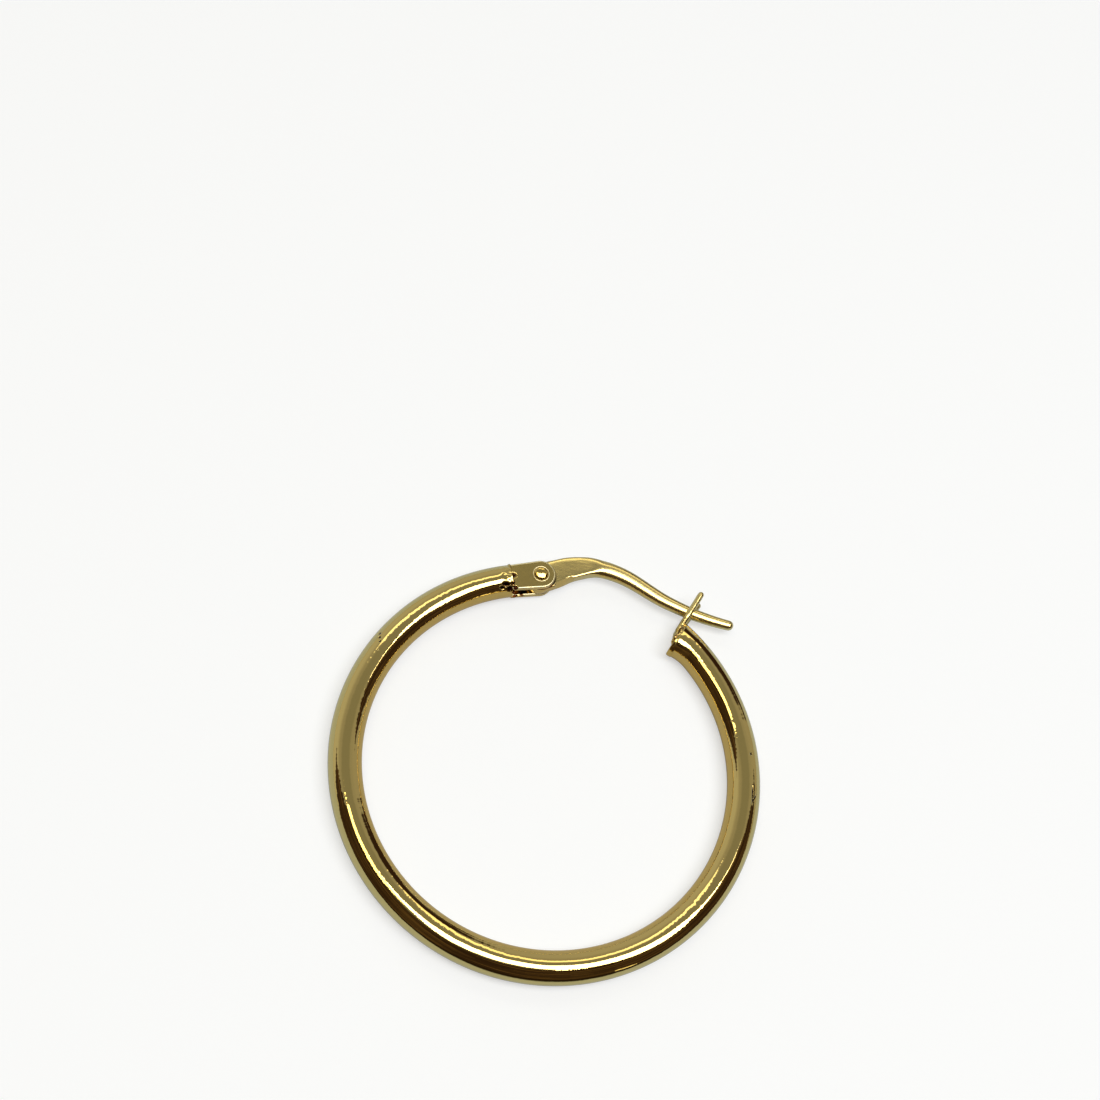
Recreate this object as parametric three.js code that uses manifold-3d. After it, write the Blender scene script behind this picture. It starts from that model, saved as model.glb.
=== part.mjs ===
import * as THREE from 'three';
import { mergeVertices } from 'three/addons/utils/BufferGeometryUtils.js';
import Module from 'manifold-3d';

// A hollow hoop earring in polished yellow gold, closed and lying on its side.
// Millimetres, +Z up. The origin is the centre of the hoop, on the surface that it lies on.
// Angles are degrees round the hoop, counted from +X towards +Y.

const wasm = await Module();
wasm.setup();

// Hoop tube
const hoopDiameter = 30; // over the outside of the tube
const tubeDiameter = 2.3;
const tubeWall = 0.2;
const hingeEndAngle = 101.5; // where the tube stops at the hinge
const catchEndAngle = 47; // where it stops at the catch
const catchLean = 12; // how far the cut at the catch is turned out of the hoop's radius, degrees
const lipSpread = 0.4; // how far the tube's end swells towards the hoop's centre at the catch
const lipLength = 2;
const tubeSides = 20;
const boreSides = 12;
const hoopSteps = 72;

// Hinge: two cheeks soldered to the tube end, with a slot between them
const endPlate = 0.3; // wall that closes each end of the tube
const pivotReach = 2.18; // from the tube end to the pivot
const pivotDrop = 0.07; // pivot towards the hoop's centre from the tube's centre line
const cheekThickness = 0.4;
const cheekRadius = 1.05;
const cheekRootWidth = 1.9;
const cheekRootDrop = 0.03; // root towards the hoop's centre
const ventDiameter = 0.5; // lets the soldering gases out of the hollow tube

// Rivet
const rivetDiameter = 0.6;
const headDiameter = 1;
const headHeight = 0.2;
const rivetFit = 0.03; // between the rivet and the cheeks, radially and under the heads
const runningFit = 0.05; // between the ear wire's eye and the rivet, radially
const cheekFit = 0.05; // between the ear wire and each cheek

// Ear wire: flat where it turns in the hinge, then drawn out into a round wire
const eyeDiameter = 2.1;
const lugWidth = 2.06;
const lugThickness = 0.8;
const wireWidth = 1.27; // at the top of its arch
const wireHeight = 1;
const catchWidth = 0.86; // where it lies in the catch
const catchHeight = 0.84;
const tipWidth = 0.7;
const archHeight = 1.82; // above the line from the pivot to the catch
const tailLength = 3.3; // past the catch
const lugLength = 4.23; // from the pivot to where the lug has become round wire
const lugPower = 6; // of the section's rounded oblong; 2 is a plain ellipse
const wireSides = 20;
const wireSteps = 44;
const tipSteps = 5; // of wireSteps, in the rounded tip
const tipTurnAngle = 80; // how much of a quarter circle the tip's profile turns through

// The wire's route up to the catch, in shares of the span from the pivot and of the arch height
const archRoute = [
  [0, 0], [0.1, 0.35], [0.17, 0.62], [0.25, 0.83], [0.32, 0.96], [0.395, 1], [0.475, 0.96],
  [0.56, 0.85], [0.645, 0.67], [0.73, 0.46], [0.81, 0.28], [0.9, 0.13], [1, 0],
];
// From the catch on, in shares of the tail's length and of the arch height
const tailRoute = [[0.35, -0.09], [0.7, -0.14], [1, -0.16]];

// Catch: an upright fork on the closed end of the tube
const forkWidth = 0.42; // along the hoop
const prongThickness = 0.38;
const prongReach = 2.5; // from the tube's outside to the tips
const forkFloor = 0.47; // from the tube's outside to the bottom of the fork
const forkFlare = 0.2; // each prong's lean outwards at its tip
const forkRoot = 1.5; // depth of the fork's root below the tube's outside
const capInset = 0.07; // the end plate's rim, below the tube's surface
const wireFit = 0.06; // between the wire and each prong
const seatFit = 0.1; // between the wire and the bottom of the fork

const roundSegments = 32;
const domeSegments = 4; // from the edge of a rivet head to its middle
const weld = 1e-4;

const tubeRadius = tubeDiameter / 2;
const ringRadius = hoopDiameter / 2 - tubeRadius;
const slotHeight = lugThickness + 2 * cheekFit;
const hingeHeight = slotHeight + 2 * cheekThickness;
const lowGap = catchHeight / 2 + wireFit; // half of the fork's gap at its bottom

const gold = new THREE.MeshStandardMaterial({ color: 0xd9b45a, roughness: 0.12, metalness: 1 });
const rivetGold = new THREE.MeshStandardMaterial({ color: 0xcfa850, roughness: 0.18, metalness: 1 });
const wireGold = new THREE.MeshStandardMaterial({ color: 0xdcb860, roughness: 0.14, metalness: 1 });

const radians = THREE.MathUtils.degToRad;
const mix = THREE.MathUtils.lerp;

function onHoop(radius, angle) {
  return new THREE.Vector3(radius * Math.cos(angle), radius * Math.sin(angle), 0);
}

// A frame at an end of the tube: X points out of its cut end, which may lean, and Z stays up.
function tubeEnd(angle, turn, lean) {
  const out = onHoop(1, angle + lean + turn * Math.PI / 2);
  const up = new THREE.Vector3(0, 0, 1);
  const frame = new THREE.Matrix4().makeBasis(out, up.clone().cross(out), up);
  return frame.setPosition(onHoop(ringRadius, angle));
}

function solid(geometry) {
  const bare = geometry.clone();
  bare.deleteAttribute('normal');
  bare.deleteAttribute('uv');
  const welded = mergeVertices(bare, weld);
  const mesh = new wasm.Mesh({
    numProp: 3,
    vertProperties: Float32Array.from(welded.attributes.position.array),
    triVerts: Uint32Array.from(welded.index.array),
  });
  mesh.merge();
  return new wasm.Manifold(mesh);
}

function namedMesh(name, body, material) {
  const { vertProperties, triVerts } = body.getMesh();
  const geometry = new THREE.BufferGeometry();
  geometry.setAttribute('position', new THREE.BufferAttribute(vertProperties, 3));
  geometry.setIndex(new THREE.BufferAttribute(triVerts, 1));
  geometry.computeVertexNormals();
  const mesh = new THREE.Mesh(geometry, material);
  mesh.name = name;
  return mesh;
}

// A flat plate of one outline, centred on the mid-plane.
function plate(outline, thickness) {
  const settings = { depth: thickness, bevelEnabled: false, curveSegments: roundSegments };
  return new THREE.ExtrudeGeometry(outline, settings).translate(0, 0, -thickness / 2);
}

function oblong(left, bottom, right, top) {
  const outline = new THREE.Shape();
  outline.moveTo(left, bottom).lineTo(right, bottom).lineTo(right, top).lineTo(left, top);
  return outline;
}

function upright(radius, height) {
  return new THREE.CylinderGeometry(radius, radius, height, roundSegments).rotateX(Math.PI / 2);
}

// A straight bar of unit radius, laid along a flat route. sectionAt gives, for a share of the
// bar's length, the middle, the direction, the half width, the half height and the power of
// the rounded oblong. Its flats face up and down.
function laidBar(sides, steps, sectionAt) {
  const bar = new THREE.CylinderGeometry(1, 1, 1, sides, steps, false, Math.PI / sides);
  const position = bar.attributes.position;
  const squared = (value, power) => Math.sign(value) * Math.abs(value) ** (2 / power);
  for (let i = 0; i < position.count; i += 1) {
    const { middle, along, halfWidth, halfHeight, power } = sectionAt(position.getY(i) + 0.5);
    const across = halfWidth * squared(position.getX(i), power);
    const up = halfHeight * squared(position.getZ(i), power);
    position.setXYZ(i, middle.x + along.y * across, middle.y - along.x * across, up);
  }
  return bar;
}

// Half of the lip's spread at a distance before the tube's catch end.
function lipSwell(distance) {
  return lipSpread / 2 * (1 - THREE.MathUtils.clamp(distance / lipLength, 0, 1)) ** 2;
}

// A bar round the hoop, cut square at the hinge and leaning at the catch. endGap is what it
// leaves free at each end.
function hoopBar(radius, sides, endGap, catchFrame) {
  const start = radians(hingeEndAngle) + endGap / ringRadius;
  const end = radians(360 + catchEndAngle);
  const bar = laidBar(sides, hoopSteps, (share) => {
    const angle = mix(start, end + tubeDiameter / ringRadius, share);
    const swell = lipSwell((end - angle) * ringRadius);
    const along = onHoop(1, angle + Math.PI / 2);
    const middle = onHoop(ringRadius - swell, angle);
    return { middle, along, halfWidth: radius + swell, halfHeight: radius, power: 2 };
  });
  const block = 2 * tubeDiameter; // more than the bar runs on past the cut
  const past = oblong(-endGap, -tubeDiameter, block, tubeDiameter);
  return solid(bar).subtract(solid(plate(past, block).applyMatrix4(catchFrame)));
}

// The tube's outside has flats that just touch its round size, so that it lies on one of them.
function hollowTube(catchFrame) {
  const outside = hoopBar(tubeRadius / Math.cos(Math.PI / tubeSides), tubeSides, 0, catchFrame);
  return outside.subtract(hoopBar(tubeRadius - tubeWall, boreSides, endPlate, catchFrame));
}

// The hinge lies in the frame of the tube end: the pivot is at pivotReach along X.
function hingeCheeks(frame) {
  const rootTop = cheekRootWidth / 2 - cheekRootDrop;
  const outline = new THREE.Shape();
  outline.moveTo(-endPlate / 2, rootTop - cheekRootWidth);
  outline.lineTo(pivotReach, -pivotDrop - cheekRadius);
  outline.absarc(pivotReach, -pivotDrop, cheekRadius, -Math.PI / 2, Math.PI / 2);
  outline.lineTo(-endPlate / 2, rootTop);
  const slot = oblong(0, -tubeDiameter, pivotReach + tubeDiameter, tubeDiameter);
  const holeRadius = rivetDiameter / 2 + rivetFit;
  const hole = upright(holeRadius, tubeDiameter).translate(pivotReach, -pivotDrop, 0);
  return solid(plate(outline, hingeHeight).applyMatrix4(frame))
    .subtract(solid(plate(slot, slotHeight).applyMatrix4(frame)))
    .subtract(solid(hole.applyMatrix4(frame)));
}

// A hole from the bottom of the slot through the end plate into the hollow tube.
function vent(frame) {
  const length = 3 * endPlate; // the plate, and as much again on each side of it
  const hole = new THREE.CylinderGeometry(ventDiameter / 2, ventDiameter / 2, length, boreSides);
  return solid(hole.rotateZ(Math.PI / 2).translate(-endPlate / 2, 0, 0).applyMatrix4(frame));
}

// The tube's catch end is closed by a plate, which shows a narrower rim past the tube.
function endCap(frame) {
  const radius = tubeRadius - capInset;
  const cap = new THREE.CylinderGeometry(radius, radius, 2 * endPlate, roundSegments);
  cap.rotateZ(Math.PI / 2).scale(1, 1 + lipSwell(0) / radius, 1).translate(0, lipSwell(0), 0);
  return solid(cap.applyMatrix4(frame));
}

// One prong of the fork, drawn with the hoop's radius along X and its height along Y.
function prong(side) {
  const floor = tubeRadius + forkFloor;
  const tip = tubeRadius + prongReach - prongThickness / 2;
  const low = side * (lowGap + prongThickness / 2);
  const high = low + side * forkFlare;
  const half = side * prongThickness / 2;
  const outline = new THREE.Shape();
  outline.moveTo(floor - forkFloor, 0).lineTo(floor, 0).lineTo(floor, low - half);
  outline.lineTo(tip, high - half);
  outline.absarc(tip, high, prongThickness / 2, -side * Math.PI / 2, side * Math.PI / 2, side < 0);
  outline.lineTo(floor, low + half);
  outline.lineTo(floor - forkFloor, low);
  return outline;
}

function fork(frame) {
  const root = oblong(tubeRadius - forkRoot, -lowGap, tubeRadius + forkFloor, lowGap);
  const stand = new THREE.Matrix4().makeBasis(
    new THREE.Vector3(0, -1, 0),
    new THREE.Vector3(0, 0, 1),
    new THREE.Vector3(-1, 0, 0),
  ).setPosition(forkWidth / 2, 0, 0);
  const stood = (outline) => solid(plate(outline, forkWidth).applyMatrix4(stand).applyMatrix4(frame));
  return stood(root).add(stood(prong(1))).add(stood(prong(-1)));
}

function hoop(hingeFrame, catchFrame) {
  const body = hollowTube(catchFrame)
    .add(hingeCheeks(hingeFrame))
    .add(endCap(catchFrame))
    .add(fork(catchFrame))
    .subtract(vent(hingeFrame));
  return namedMesh('hoop', body, gold);
}

function hingeRivet() {
  const shaft = rivetDiameter / 2;
  const under = hingeHeight / 2 + rivetFit;
  const dome = new THREE.Path();
  const headRadius = headDiameter / 2;
  const ball = (headRadius ** 2 + headHeight ** 2) / (2 * headHeight);
  const spread = Math.asin(headRadius / ball);
  const middle = under + headHeight - ball;
  dome.absarc(0, middle, ball, Math.PI / 2 - spread, Math.PI / 2);
  const top = dome.getPoints(domeSegments);
  const upper = [new THREE.Vector2(shaft, under), ...top];
  upper[upper.length - 1].x = 0;
  const lower = upper.map((point) => new THREE.Vector2(point.x, -point.y)).reverse();
  const rivet = new THREE.LatheGeometry([...lower, ...upper], roundSegments).rotateX(Math.PI / 2);
  return namedMesh('hinge_rivet', solid(rivet), rivetGold);
}

// The route of the wire in its own frame: the pivot is at the origin and the catch is on +X.
function wireRoute(span) {
  const points = archRoute.map(([x, y]) => new THREE.Vector3(x * span, y * archHeight, 0));
  for (const [x, y] of tailRoute) {
    points.push(new THREE.Vector3(span + x * tailLength, y * archHeight, 0));
  }
  return new THREE.CatmullRomCurve3(points, false, 'centripetal');
}

// The section at a distance x from the pivot towards the catch.
function wireSection(x, span) {
  const lug = 1 - THREE.MathUtils.smoothstep(x, 0, lugLength);
  const drawn = THREE.MathUtils.clamp((x - lugLength) / (span - lugLength), 0, 1);
  const tail = THREE.MathUtils.clamp((x - span) / tailLength, 0, 1);
  const width = mix(mix(mix(wireWidth, catchWidth, drawn), tipWidth, tail), lugWidth, lug);
  const height = mix(mix(mix(wireHeight, catchHeight, drawn), tipWidth, tail), lugThickness, lug);
  return { width, height, power: mix(2, lugPower, lug) };
}

function earWire(span) {
  const route = wireRoute(span);
  const tipStart = 1 - tipWidth / 2 / route.getLength();
  const bodyShare = 1 - tipSteps / wireSteps;
  const bar = laidBar(wireSides, wireSteps, (share) => {
    const turn = Math.max(0, (share - bodyShare) / (1 - bodyShare)) * radians(tipTurnAngle);
    const body = Math.min(share / bodyShare, 1) * tipStart;
    const place = body + (1 - tipStart) * Math.sin(turn);
    const middle = route.getPointAt(place);
    const { width, height, power } = wireSection(middle.x, span);
    const round = Math.cos(turn) / 2;
    const along = route.getTangentAt(place);
    return { middle, along, halfWidth: width * round, halfHeight: height * round, power };
  });
  const eye = upright(eyeDiameter / 2, lugThickness);
  const hole = upright(rivetDiameter / 2 + runningFit, tubeDiameter);
  const body = solid(bar).add(solid(eye)).subtract(solid(hole));
  return namedMesh('ear_wire', body, wireGold);
}

const hingeFrame = tubeEnd(radians(hingeEndAngle), -1, 0);
const catchFrame = tubeEnd(radians(catchEndAngle), 1, radians(catchLean));
const pivot = new THREE.Vector3(pivotReach, -pivotDrop, 0).applyMatrix4(hingeFrame);
const seatOutset = tubeRadius + forkFloor + seatFit + catchWidth / 2;
const seat = new THREE.Vector3(forkWidth / 2, -seatOutset, 0).applyMatrix4(catchFrame);
const span = seat.distanceTo(pivot);

const rivet = hingeRivet();
rivet.position.copy(pivot);
const wire = earWire(span);
wire.position.copy(pivot);
wire.rotation.z = Math.atan2(seat.y - pivot.y, seat.x - pivot.x);

const earring = new THREE.Group();
earring.position.z = tubeRadius;
earring.add(hoop(hingeFrame, catchFrame), rivet, wire);

export default earring;
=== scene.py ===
import math

import bpy
import numpy as np
from mathutils import Matrix, Vector
from mathutils.geometry import interpolate_bezier


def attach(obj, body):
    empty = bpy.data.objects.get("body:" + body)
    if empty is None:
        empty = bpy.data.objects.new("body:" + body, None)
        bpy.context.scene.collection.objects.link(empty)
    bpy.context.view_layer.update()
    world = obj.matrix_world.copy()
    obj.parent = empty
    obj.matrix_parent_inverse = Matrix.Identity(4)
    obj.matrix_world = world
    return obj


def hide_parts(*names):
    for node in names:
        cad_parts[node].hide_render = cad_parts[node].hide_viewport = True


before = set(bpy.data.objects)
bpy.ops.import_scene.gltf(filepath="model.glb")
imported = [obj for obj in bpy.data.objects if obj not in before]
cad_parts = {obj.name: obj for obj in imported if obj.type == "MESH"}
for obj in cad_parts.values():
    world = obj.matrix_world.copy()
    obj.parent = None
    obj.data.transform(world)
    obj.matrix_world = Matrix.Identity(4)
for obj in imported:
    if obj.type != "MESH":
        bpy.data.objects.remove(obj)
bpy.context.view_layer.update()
mm = 0.001
bpy.ops.object.select_all(action="DESELECT")

# Camera: it looks down on the earring from the front left, as a hand-held close-up does.
# The focal length in pixels came from fitting the hoop's outline, in an image 1100 pixels wide.
image_width = 1100
focal_pixels = 1890.088
camera_data = bpy.data.cameras.new("camera")
camera_data.sensor_width = 36
camera_data.lens = 36 * focal_pixels / image_width
camera_data.clip_start = 5 * mm
camera = bpy.data.objects.new("camera", camera_data)
bpy.context.collection.objects.link(camera)
right = Vector((0.9841334, 0, 0.1774304))
up = Vector((-0.0738687, 0.9092158, 0.4097195))
camera.matrix_world = Matrix.LocRotScale(
    Vector((-21.8012, -40.4544, 123.0104)) * mm,
    Matrix((right, up, right.cross(up))).transposed(),
    None,
)
bpy.context.scene.camera = camera

# Hoop tube: a hollow round tube of yellow gold, drawn, bent to a ring and mirror polished.
# It is cut square at the hinge. At the catch it is cut at a lean, its end is flared towards the
# middle of the hoop, and its rim is turned in.
tube_radius = 1.15 * mm
ring_radius = 13.85 * mm
hinge_end = math.radians(101.5)
catch_end = math.radians(47)
gap_middle = math.radians(75)
lip_spread = 0.5 * mm
lip_length = 2 * mm
rim_lean = math.radians(16)
rim_round = 0.12 * mm
hair = 0.001 * mm
centre = Vector((0, 0, tube_radius))


def direction(angle):
    return Vector((math.cos(angle), math.sin(angle), 0))


def select_where(piece, test, kind="verts"):
    """In edit mode, selects the vertices or faces that pass the test, and nothing else."""
    bpy.ops.mesh.select_mode(type="FACE" if kind == "faces" else "VERT")
    bpy.ops.mesh.select_all(action="DESELECT")
    bpy.ops.object.mode_set(mode="OBJECT")
    if kind == "faces":
        for face in piece.data.polygons:
            face.select = test(face.center)
    else:
        for vertex in piece.data.vertices:
            vertex.select = test(vertex.co)
    bpy.ops.object.mode_set(mode="EDIT")


def bake_modifiers(piece):
    """Applies a piece's modifiers to its mesh."""
    for modifier in list(piece.modifiers):
        bpy.ops.object.modifier_apply(modifier=modifier.name)


def smooth(degrees):
    """Shades the piece in hand smooth, but keeps edges that are sharper than this."""
    bpy.ops.object.shade_smooth_by_angle(angle=math.radians(degrees))


def linear(code):
    """An sRGB hex code as linear red, green, blue and alpha."""
    channels = [int(code[i:i + 2], 16) / 255 for i in (1, 3, 5)]
    return [c / 12.92 if c <= 0.04045 else ((c + 0.055) / 1.055) ** 2.4 for c in channels] + [1]


def node(tree, kind, sockets, **settings):
    """Adds a node. A socket is given a value, or the output socket that it is linked from."""
    made = tree.nodes.new(kind)
    for name, value in settings.items():
        setattr(made, name, value)
    for name, value in sockets.items():
        if isinstance(value, bpy.types.NodeSocket):
            tree.links.new(value, made.inputs[name])
        else:
            made.inputs[name].default_value = value
    return made


def metal(name, colour, roughness):
    """A bare material of one metal. Metal keeps the default IOR."""
    material = bpy.data.materials.new(name)
    material.use_nodes = True
    shader = material.node_tree.nodes["Principled BSDF"]
    shader.inputs["Metallic"].default_value = 1
    shader.inputs["Base Color"].default_value = linear(colour)
    shader.inputs["Roughness"].default_value = roughness
    return material, material.node_tree, shader


# Yellow gold, drawn as tube and mirror polished: almost no haze, but the bending leaves fine
# ripples across the tube, which break the edges of each highlight. They follow the ring's
# direction and not its angle, so they have no seam, and they start off the noise's own grid.
polished_gold, tree, shader = metal("polished_gold", "#e7cd82", 0.05)
ripple_pitch = 0.55 * mm
ripple_height = 0.016 * mm
ripple_squeeze = 0.45
wave_pitch = 2.2 * mm
wave_height = 0.03 * mm
off_grid = (7.3, 4.6, 2.7)
place = node(tree, "ShaderNodeTexCoord", {})
part = node(tree, "ShaderNodeSeparateXYZ", {0: place.outputs["Object"]})
turn = node(
    tree, "ShaderNodeMath", {0: part.outputs["Y"], 1: part.outputs["X"]}, operation="ARCTAN2"
)
level = node(
    tree, "ShaderNodeVectorMath", {0: place.outputs["Object"], 1: (1, 1, 0)}, operation="MULTIPLY"
)
outward = node(tree, "ShaderNodeVectorMath", {0: level.outputs[0]}, operation="NORMALIZE")
across = node(
    tree,
    "ShaderNodeVectorMath",
    {0: place.outputs["Object"], 1: (0, 0, ripple_squeeze / ripple_pitch), 2: off_grid},
    operation="MULTIPLY_ADD",
)
along = ring_radius / ripple_pitch
route = node(
    tree,
    "ShaderNodeVectorMath",
    {0: outward.outputs[0], 1: (along, along, 0), 2: across.outputs[0]},
    operation="MULTIPLY_ADD",
)
ripple = node(
    tree,
    "ShaderNodeTexNoise",
    {"Vector": route.outputs[0], "Scale": 1.0, "Detail": 2.0, "Roughness": 0.45},
)
waves = node(
    tree,
    "ShaderNodeTexNoise",
    {"Vector": place.outputs["Object"], "Scale": 1 / wave_pitch, "Detail": 1.0},
)
fine = node(
    tree,
    "ShaderNodeBump",
    {"Height": ripple.outputs["Fac"], "Distance": ripple_height, "Strength": 1.0},
)
broad = node(
    tree,
    "ShaderNodeBump",
    {
        "Height": waves.outputs["Fac"],
        "Distance": wave_height,
        "Strength": 1.0,
        "Normal": fine.outputs["Normal"],
    },
)


def on_tube(hoop_angle, round_angle):
    """A point on the tube's surface, by its place round the hoop and round the tube."""
    around = math.radians(round_angle)
    reach = ring_radius + tube_radius * math.cos(around)
    lift = Vector((0, 0, tube_radius * math.sin(around)))
    return direction(math.radians(hoop_angle)) * reach + centre + lift


def hollow(tree, place, middle, radii, turned=(0, 0, 0)):
    """How deep a point lies in one pit or dent of egg shape: 1 in its middle, 0 outside it."""
    inside = node(
        tree,
        "ShaderNodeMapping",
        {
            "Vector": place.outputs["Object"],
            "Location": middle,
            "Rotation": turned,
            "Scale": [radius * mm for radius in radii],
        },
        vector_type="TEXTURE",
    )
    reach = node(tree, "ShaderNodeVectorMath", {0: inside.outputs[0]}, operation="LENGTH")
    return node(
        tree,
        "ShaderNodeMapRange",
        {"Value": reach.outputs["Value"], "From Min": 1.0, "From Max": 0.45},
        interpolation_type="SMOOTHSTEP",
    )


def pitted(tree, shader, before, pits, depth, colour=None, tarnish=None):
    """Sinks pits into a material, after the bump node before. Tarnish colours their middle.

    colour is the metal's own colour round them: a code, or the output socket that gives it.
    """
    deepest = pits[0]
    for pit in pits[1:]:
        deepest = node(
            tree, "ShaderNodeMath", {0: deepest.outputs[0], 1: pit.outputs[0]}, operation="MAXIMUM"
        )
    sunk = node(
        tree,
        "ShaderNodeBump",
        {
            "Height": deepest.outputs[0],
            "Distance": depth,
            "Strength": 1.0,
            "Normal": before.outputs["Normal"],
        },
        invert=True,
    )
    tree.links.new(sunk.outputs["Normal"], shader.inputs["Normal"])
    if tarnish:
        clean = linear(colour) if isinstance(colour, str) else colour
        stained = node(
            tree,
            "ShaderNodeMix",
            {0: deepest.outputs[0], 6: clean, 7: linear(tarnish)},
            data_type="RGBA",
        )
        tree.links.new(stained.outputs[2], shader.inputs["Base Color"])
    return sunk


# Wear: small pits, and a nick with two arms that holds dirt. Beside the hinge the solder ran over
# the tube, so its surface is lumpy and stained there.
solder_lump = 0.42 * mm
solder_lump_height = 0.12 * mm
pit_depth = 0.02 * mm
stained_depth = 0.08 * mm
solder_ends = math.radians(105.4)
solder_full = math.radians(102.4)
nick = on_tube(-7.6, 63)
second_arm = nick + Vector((-0.12, 0.25, 0.06)) * mm
flow = node(
    tree,
    "ShaderNodeTexNoise",
    {"Vector": place.outputs["Object"], "Scale": 1 / solder_lump, "Detail": 1.0},
)
by_hinge = node(
    tree,
    "ShaderNodeMapRange",
    {"Value": turn.outputs[0], "From Min": solder_ends, "From Max": solder_full},
    interpolation_type="SMOOTHSTEP",
)
past_catch = node(
    tree, "ShaderNodeMath", {0: turn.outputs[0], 1: gap_middle}, operation="GREATER_THAN"
)
soldered = node(
    tree, "ShaderNodeMath", {0: by_hinge.outputs[0], 1: past_catch.outputs[0]}, operation="MULTIPLY"
)
lumps = node(
    tree, "ShaderNodeMath", {0: flow.outputs["Fac"], 1: soldered.outputs[0]}, operation="MULTIPLY"
)
lumpy = node(
    tree,
    "ShaderNodeBump",
    {
        "Height": lumps.outputs[0],
        "Distance": solder_lump_height,
        "Strength": 1.0,
        "Normal": broad.outputs["Normal"],
    },
)
worn = pitted(
    tree,
    shader,
    lumpy,
    [
        hollow(tree, place, on_tube(149, 84), (0.06, 0.06, 0.06)),
        hollow(tree, place, on_tube(-52, 101), (0.05, 0.05, 0.05)),
        hollow(tree, place, on_tube(-121, 98), (0.06, 0.06, 0.06)),
    ],
    pit_depth,
)
pitted(
    tree,
    shader,
    worn,
    [
        hollow(tree, place, on_tube(103.7, 120), (0.36, 0.26, 0.26)),
        hollow(tree, place, on_tube(102.6, 138), (0.36, 0.28, 0.34)),
        hollow(tree, place, on_tube(105.1, 130), (0.26, 0.2, 0.24)),
        hollow(tree, place, nick, (0.55, 0.07, 0.4), (0, 0, math.radians(57))),
        hollow(tree, place, second_arm, (0.07, 0.8, 0.3), (0, 0, math.radians(-4))),
        hollow(tree, place, on_tube(144.3, 46), (0.13, 0.13, 0.13)),
        hollow(tree, place, on_tube(145.4, 58), (0.12, 0.12, 0.12)),
        hollow(tree, place, on_tube(146.4, 69), (0.1, 0.1, 0.1)),
        hollow(tree, place, on_tube(5.3, 71.5), (0.12, 0.12, 0.12)),
    ],
    stained_depth,
    "#e7cd82",
    "#3f180b",
)

hinge_at = centre + direction(hinge_end) * ring_radius
bpy.ops.mesh.primitive_circle_add(
    vertices=72,
    radius=tube_radius,
    location=hinge_at,
    rotation=(math.pi / 2, 0, hinge_end),
)
tube = bpy.context.object
tube.name = "hoop_tube"
bpy.ops.object.transform_apply(location=True, rotation=True, scale=True)
bpy.ops.object.mode_set(mode="EDIT")
bpy.ops.mesh.select_all(action="SELECT")
past_cut = math.radians(8)
swept = 2 * math.pi + catch_end - hinge_end + past_cut
bpy.ops.mesh.spin(steps=330, angle=-swept, center=centre, axis=(0, 0, 1))
bpy.ops.mesh.select_all(action="SELECT")
bpy.ops.mesh.remove_doubles(threshold=hair / 10)
bpy.ops.object.mode_set(mode="OBJECT")

# The flare grows over the last stretch before the cut, and only on the side of the hoop's middle.
cut_out = direction(catch_end + rim_lean + math.pi / 2)
cut_at = centre + direction(catch_end) * ring_radius - cut_out * rim_round
for vertex in tube.data.vertices:
    angle = math.atan2(vertex.co.y, vertex.co.x)
    before = (catch_end - angle) * ring_radius
    if before < lip_length and angle < gap_middle:
        swell = lip_spread / 2 * (1 - max(0, before / lip_length)) ** 2
        axis = direction(angle) * ring_radius
        outset = direction(angle).dot(vertex.co - centre - axis)
        vertex.co += direction(angle) * (outset * swell / tube_radius - swell)
bpy.ops.object.mode_set(mode="EDIT")
select_where(tube, lambda co: 0 < math.atan2(co.y, co.x) < gap_middle, "faces")
bpy.ops.mesh.bisect(plane_co=cut_at, plane_no=cut_out, clear_outer=True, threshold=hair / 10)

# The rim is turned in through a quarter of a circle. Then each end is closed by a flat face.
select_where(tube, lambda co: co.y > 0 < co.x and (co - cut_at).dot(cut_out) > -hair)
rim_middle = cut_at - direction(catch_end + rim_lean) * lip_spread / 2
rim_radius = tube_radius + lip_spread / 4
gone, size = 0, 1
for bend in (30, 60, 90):
    step = rim_round * math.sin(math.radians(bend)) - gone
    gone += step
    shrunk = 1 - rim_round * (1 - math.cos(math.radians(bend))) / rim_radius
    bpy.ops.mesh.extrude_region_move(TRANSFORM_OT_translate={"value": cut_out * step})
    bpy.ops.transform.resize(value=[shrunk / size] * 3, center_override=rim_middle + cut_out * gone)
    size = shrunk


def close_end(middle):
    """Takes the selected rim of the tube inwards as a narrow flat ring, and fills that."""
    bpy.ops.mesh.extrude_region_move()
    bpy.ops.transform.resize(value=(0.9, 0.9, 0.9), center_override=middle)
    bpy.ops.mesh.edge_face_add()


close_end(rim_middle + cut_out * gone)
hinge_out = direction(hinge_end - math.pi / 2)
select_where(tube, lambda co: co.x < 0 < co.y and abs((co - hinge_at).dot(hinge_out)) < hair)
close_end(hinge_at)
bpy.ops.mesh.select_all(action="SELECT")
bpy.ops.mesh.normals_make_consistent(inside=False)
bpy.ops.object.mode_set(mode="OBJECT")
smooth(35)
tube.data.materials.append(polished_gold)
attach(tube, "hoop")
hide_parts("hoop")

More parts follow.
